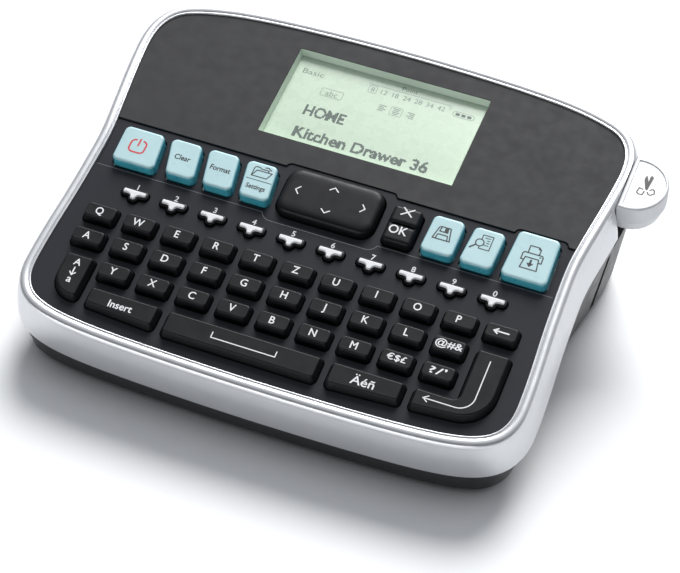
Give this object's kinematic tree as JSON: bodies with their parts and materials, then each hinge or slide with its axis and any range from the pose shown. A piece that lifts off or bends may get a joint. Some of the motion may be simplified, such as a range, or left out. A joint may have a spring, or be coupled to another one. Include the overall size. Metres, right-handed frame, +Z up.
{
  "type": "desktop label maker",
  "caption": "Wedge-shaped desktop label maker with a letter keyboard, display, function keys, tape cassette bay, thermal printing parts and a side cutter button.",
  "frame": {"origin": "on the table under the middle of the case, at the face of the middle rubber foot; x = 0 is the plane of symmetry of the case outline", "axes": "+X to the user's right (cutter side), +Y away from the user, +Z up"},
  "size_m": [0.1647, 0.1262, 0.0524],
  "materials": {
    "black_case": "fine moulded texture",
    "silver_case": "satin silver lacquer on moulded plastic",
    "dark_plate": "satin",
    "dark_panel": "smooth satin",
    "lcd": "pale green reflective display",
    "circuit": "green board",
    "cell_wrap": "shrink wrap",
    "cassette_body": "satin",
    "head_metal": "milled",
    "roller_rubber": "ground rubber",
    "motor_metal": "plated can",
    "blade_steel": "ground",
    "screw_steel": "zinc plated",
    "foot_rubber": "matte",
    "pale_key": "satin, pale cyan",
    "white_key": "white bars on dark skirts",
    "black_key": "satin keypad rubber"
  },
  "bodies": {
    "case": {"base_shell": "black_case", "top_bezel": "silver_case", "face_plate": "dark_plate", "display_panel": "dark_panel", "lcd_module": "lcd", "circuit_board": "circuit", "battery_pack": "cell_wrap", "tape_cassette": "cassette_body", "print_head": "head_metal", "drive_motor": "motor_metal", "case_screws": "screw_steel", "rubber_feet": "foot_rubber"},
    "cassette_door": {"cassette_door": "black_case"},
    "battery_cover": {"battery_cover": "black_case"},
    "cutter_button": {"cutter_button": "silver_case"},
    "cutter_blade": {"cutter_blade": "blade_steel"},
    "platen_roller": {"platen_roller": "roller_rubber"},
    "navigation_pivot": {"navigation_pivot": "blade_steel"},
    "navigation_pad": {"navigation_pad": "black_key"},
    "cancel_ok_key": {"cancel_ok_key": "black_key"},
    "print_key": {"print_key": "pale_key"},
    "power_key": {"power_key": "pale_key"},
    "clear_key": {"clear_key": "pale_key"},
    "format_key": {"format_key": "pale_key"},
    "settings_key": {"settings_key": "pale_key"},
    "save_key": {"save_key": "pale_key"},
    "preview_key": {"preview_key": "pale_key"},
    "enter_key": {"enter_key": "black_key"},
    "space_key": {"space_key": "black_key"},
    "caps_key": {"caps_key": "black_key"},
    "insert_key": {"insert_key": "black_key"},
    "accents_key": {"accents_key": "black_key"},
    "number_keys": {"number_keys": "white_key"},
    "symbol_keys": {"symbol_keys": "black_key"},
    "key_q": {"key_q": "black_key"},
    "key_w": {"key_w": "black_key"},
    "key_e": {"key_e": "black_key"},
    "key_r": {"key_r": "black_key"},
    "key_t": {"key_t": "black_key"},
    "key_z": {"key_z": "black_key"},
    "key_u": {"key_u": "black_key"},
    "key_i": {"key_i": "black_key"},
    "key_o": {"key_o": "black_key"},
    "key_p": {"key_p": "black_key"},
    "key_a": {"key_a": "black_key"},
    "key_s": {"key_s": "black_key"},
    "key_d": {"key_d": "black_key"},
    "key_f": {"key_f": "black_key"},
    "key_g": {"key_g": "black_key"},
    "key_h": {"key_h": "black_key"},
    "key_j": {"key_j": "black_key"},
    "key_k": {"key_k": "black_key"},
    "key_l": {"key_l": "black_key"},
    "key_y": {"key_y": "black_key"},
    "key_x": {"key_x": "black_key"},
    "key_c": {"key_c": "black_key"},
    "key_v": {"key_v": "black_key"},
    "key_b": {"key_b": "black_key"},
    "key_n": {"key_n": "black_key"},
    "key_m": {"key_m": "black_key"}
  },
  "joints": [
    {"name": "cassette_door_hinge", "type": "hinge", "parent": "case", "child": "cassette_door", "pos_m": [0.015, 0.0564, 0.0029], "axis": [1, 0, 0], "range_deg": [0, 90]},
    {"name": "battery_cover_slide", "type": "slide", "parent": "case", "child": "battery_cover", "axis": [0, 1, 0], "range_m": [0, 0.046]},
    {"name": "cutter_press", "type": "slide", "parent": "case", "child": "cutter_button", "axis": [0, 0.2096, -0.9778], "range_m": [0, 0.0035], "stiffness_N_per_m": 900, "springref_m": -0.001},
    {"name": "blade_swing", "type": "hinge", "parent": "case", "child": "cutter_blade", "pos_m": [0.0667, 0.027, 0.031], "axis": [-1, 0, 0], "range_deg": [0, 19.6]},
    {"name": "platen_spin", "type": "hinge", "parent": "case", "child": "platen_roller", "pos_m": [0.053, 0.0289, 0.015], "axis": [0, 0, 1], "continuous": true},
    {"name": "navigation_tilt_sideways", "type": "hinge", "parent": "case", "child": "navigation_pivot", "pos_m": [0, -0.00203, 0.03561], "axis": [0, 0.9613, 0.2756], "range_deg": [-4, 4], "stiffness_Nm_per_rad": 0.25},
    {"name": "navigation_tilt_lengthways", "type": "hinge", "parent": "navigation_pivot", "child": "navigation_pad", "pos_m": [0, -0.00214, 0.03599], "axis": [1, 0, 0], "range_deg": [-6, 6], "stiffness_Nm_per_rad": 0.2},
    {"name": "cancel_ok_rock", "type": "hinge", "parent": "case", "child": "cancel_ok_key", "pos_m": [0.02185, -0.00326, 0.03536], "axis": [1, 0, 0], "range_deg": [-7, 7], "stiffness_Nm_per_rad": 0.15},
    {"name": "print_key_press", "type": "slide", "parent": "case", "child": "print_key", "axis": [0, 0.2756, -0.9613], "range_m": [0, 0.001], "stiffness_N_per_m": 260, "springref_m": -0.0012},
    {"name": "power_key_press", "type": "slide", "parent": "case", "child": "power_key", "axis": [0, 0.2756, -0.9613], "range_m": [0, 0.001], "stiffness_N_per_m": 260, "springref_m": -0.0012},
    {"name": "clear_key_press", "type": "slide", "parent": "case", "child": "clear_key", "axis": [0, 0.2756, -0.9613], "range_m": [0, 0.001], "stiffness_N_per_m": 260, "springref_m": -0.0012},
    {"name": "format_key_press", "type": "slide", "parent": "case", "child": "format_key", "axis": [0, 0.2756, -0.9613], "range_m": [0, 0.001], "stiffness_N_per_m": 260, "springref_m": -0.0012},
    {"name": "settings_key_press", "type": "slide", "parent": "case", "child": "settings_key", "axis": [0, 0.2756, -0.9613], "range_m": [0, 0.001], "stiffness_N_per_m": 260, "springref_m": -0.0012},
    {"name": "save_key_press", "type": "slide", "parent": "case", "child": "save_key", "axis": [0, 0.2756, -0.9613], "range_m": [0, 0.001], "stiffness_N_per_m": 260, "springref_m": -0.0012},
    {"name": "preview_key_press", "type": "slide", "parent": "case", "child": "preview_key", "axis": [0, 0.2756, -0.9613], "range_m": [0, 0.001], "stiffness_N_per_m": 260, "springref_m": -0.0012},
    {"name": "enter_key_press", "type": "slide", "parent": "case", "child": "enter_key", "axis": [0, 0.2756, -0.9613], "range_m": [0, 0.001], "stiffness_N_per_m": 260, "springref_m": -0.0012},
    {"name": "space_key_press", "type": "slide", "parent": "case", "child": "space_key", "axis": [0, 0.2756, -0.9613], "range_m": [0, 0.001], "stiffness_N_per_m": 260, "springref_m": -0.0012},
    {"name": "caps_key_press", "type": "slide", "parent": "case", "child": "caps_key", "axis": [0, 0.2756, -0.9613], "range_m": [0, 0.001], "stiffness_N_per_m": 260, "springref_m": -0.0012},
    {"name": "insert_key_press", "type": "slide", "parent": "case", "child": "insert_key", "axis": [0, 0.2756, -0.9613], "range_m": [0, 0.001], "stiffness_N_per_m": 260, "springref_m": -0.0012},
    {"name": "accents_key_press", "type": "slide", "parent": "case", "child": "accents_key", "axis": [0, 0.2756, -0.9613], "range_m": [0, 0.001], "stiffness_N_per_m": 260, "springref_m": -0.0012},
    {"name": "number_keys_press", "type": "slide", "parent": "case", "child": "number_keys", "axis": [0, 0.2756, -0.9613], "range_m": [0, 0.001], "stiffness_N_per_m": 260, "springref_m": -0.0012},
    {"name": "symbol_keys_press", "type": "slide", "parent": "case", "child": "symbol_keys", "axis": [0, 0.2756, -0.9613], "range_m": [0, 0.001], "stiffness_N_per_m": 260, "springref_m": -0.0012},
    {"name": "key_q_press", "type": "slide", "parent": "case", "child": "key_q", "axis": [0, 0.2756, -0.9613], "range_m": [0, 0.001], "stiffness_N_per_m": 260, "springref_m": -0.0012},
    {"name": "key_w_press", "type": "slide", "parent": "case", "child": "key_w", "axis": [0, 0.2756, -0.9613], "range_m": [0, 0.001], "stiffness_N_per_m": 260, "springref_m": -0.0012},
    {"name": "key_e_press", "type": "slide", "parent": "case", "child": "key_e", "axis": [0, 0.2756, -0.9613], "range_m": [0, 0.001], "stiffness_N_per_m": 260, "springref_m": -0.0012},
    {"name": "key_r_press", "type": "slide", "parent": "case", "child": "key_r", "axis": [0, 0.2756, -0.9613], "range_m": [0, 0.001], "stiffness_N_per_m": 260, "springref_m": -0.0012},
    {"name": "key_t_press", "type": "slide", "parent": "case", "child": "key_t", "axis": [0, 0.2756, -0.9613], "range_m": [0, 0.001], "stiffness_N_per_m": 260, "springref_m": -0.0012},
    {"name": "key_z_press", "type": "slide", "parent": "case", "child": "key_z", "axis": [0, 0.2756, -0.9613], "range_m": [0, 0.001], "stiffness_N_per_m": 260, "springref_m": -0.0012},
    {"name": "key_u_press", "type": "slide", "parent": "case", "child": "key_u", "axis": [0, 0.2756, -0.9613], "range_m": [0, 0.001], "stiffness_N_per_m": 260, "springref_m": -0.0012},
    {"name": "key_i_press", "type": "slide", "parent": "case", "child": "key_i", "axis": [0, 0.2756, -0.9613], "range_m": [0, 0.001], "stiffness_N_per_m": 260, "springref_m": -0.0012},
    {"name": "key_o_press", "type": "slide", "parent": "case", "child": "key_o", "axis": [0, 0.2756, -0.9613], "range_m": [0, 0.001], "stiffness_N_per_m": 260, "springref_m": -0.0012},
    {"name": "key_p_press", "type": "slide", "parent": "case", "child": "key_p", "axis": [0, 0.2756, -0.9613], "range_m": [0, 0.001], "stiffness_N_per_m": 260, "springref_m": -0.0012},
    {"name": "key_a_press", "type": "slide", "parent": "case", "child": "key_a", "axis": [0, 0.2756, -0.9613], "range_m": [0, 0.001], "stiffness_N_per_m": 260, "springref_m": -0.0012},
    {"name": "key_s_press", "type": "slide", "parent": "case", "child": "key_s", "axis": [0, 0.2756, -0.9613], "range_m": [0, 0.001], "stiffness_N_per_m": 260, "springref_m": -0.0012},
    {"name": "key_d_press", "type": "slide", "parent": "case", "child": "key_d", "axis": [0, 0.2756, -0.9613], "range_m": [0, 0.001], "stiffness_N_per_m": 260, "springref_m": -0.0012},
    {"name": "key_f_press", "type": "slide", "parent": "case", "child": "key_f", "axis": [0, 0.2756, -0.9613], "range_m": [0, 0.001], "stiffness_N_per_m": 260, "springref_m": -0.0012},
    {"name": "key_g_press", "type": "slide", "parent": "case", "child": "key_g", "axis": [0, 0.2756, -0.9613], "range_m": [0, 0.001], "stiffness_N_per_m": 260, "springref_m": -0.0012},
    {"name": "key_h_press", "type": "slide", "parent": "case", "child": "key_h", "axis": [0, 0.2756, -0.9613], "range_m": [0, 0.001], "stiffness_N_per_m": 260, "springref_m": -0.0012},
    {"name": "key_j_press", "type": "slide", "parent": "case", "child": "key_j", "axis": [0, 0.2756, -0.9613], "range_m": [0, 0.001], "stiffness_N_per_m": 260, "springref_m": -0.0012},
    {"name": "key_k_press", "type": "slide", "parent": "case", "child": "key_k", "axis": [0, 0.2756, -0.9613], "range_m": [0, 0.001], "stiffness_N_per_m": 260, "springref_m": -0.0012},
    {"name": "key_l_press", "type": "slide", "parent": "case", "child": "key_l", "axis": [0, 0.2756, -0.9613], "range_m": [0, 0.001], "stiffness_N_per_m": 260, "springref_m": -0.0012},
    {"name": "key_y_press", "type": "slide", "parent": "case", "child": "key_y", "axis": [0, 0.2756, -0.9613], "range_m": [0, 0.001], "stiffness_N_per_m": 260, "springref_m": -0.0012},
    {"name": "key_x_press", "type": "slide", "parent": "case", "child": "key_x", "axis": [0, 0.2756, -0.9613], "range_m": [0, 0.001], "stiffness_N_per_m": 260, "springref_m": -0.0012},
    {"name": "key_c_press", "type": "slide", "parent": "case", "child": "key_c", "axis": [0, 0.2756, -0.9613], "range_m": [0, 0.001], "stiffness_N_per_m": 260, "springref_m": -0.0012},
    {"name": "key_v_press", "type": "slide", "parent": "case", "child": "key_v", "axis": [0, 0.2756, -0.9613], "range_m": [0, 0.001], "stiffness_N_per_m": 260, "springref_m": -0.0012},
    {"name": "key_b_press", "type": "slide", "parent": "case", "child": "key_b", "axis": [0, 0.2756, -0.9613], "range_m": [0, 0.001], "stiffness_N_per_m": 260, "springref_m": -0.0012},
    {"name": "key_n_press", "type": "slide", "parent": "case", "child": "key_n", "axis": [0, 0.2756, -0.9613], "range_m": [0, 0.001], "stiffness_N_per_m": 260, "springref_m": -0.0012},
    {"name": "key_m_press", "type": "slide", "parent": "case", "child": "key_m", "axis": [0, 0.2756, -0.9613], "range_m": [0, 0.001], "stiffness_N_per_m": 260, "springref_m": -0.0012}
  ],
  "couplings": [
    {"joint": "blade_swing", "follows": "cutter_press", "rad_per_m": 97}
  ]
}
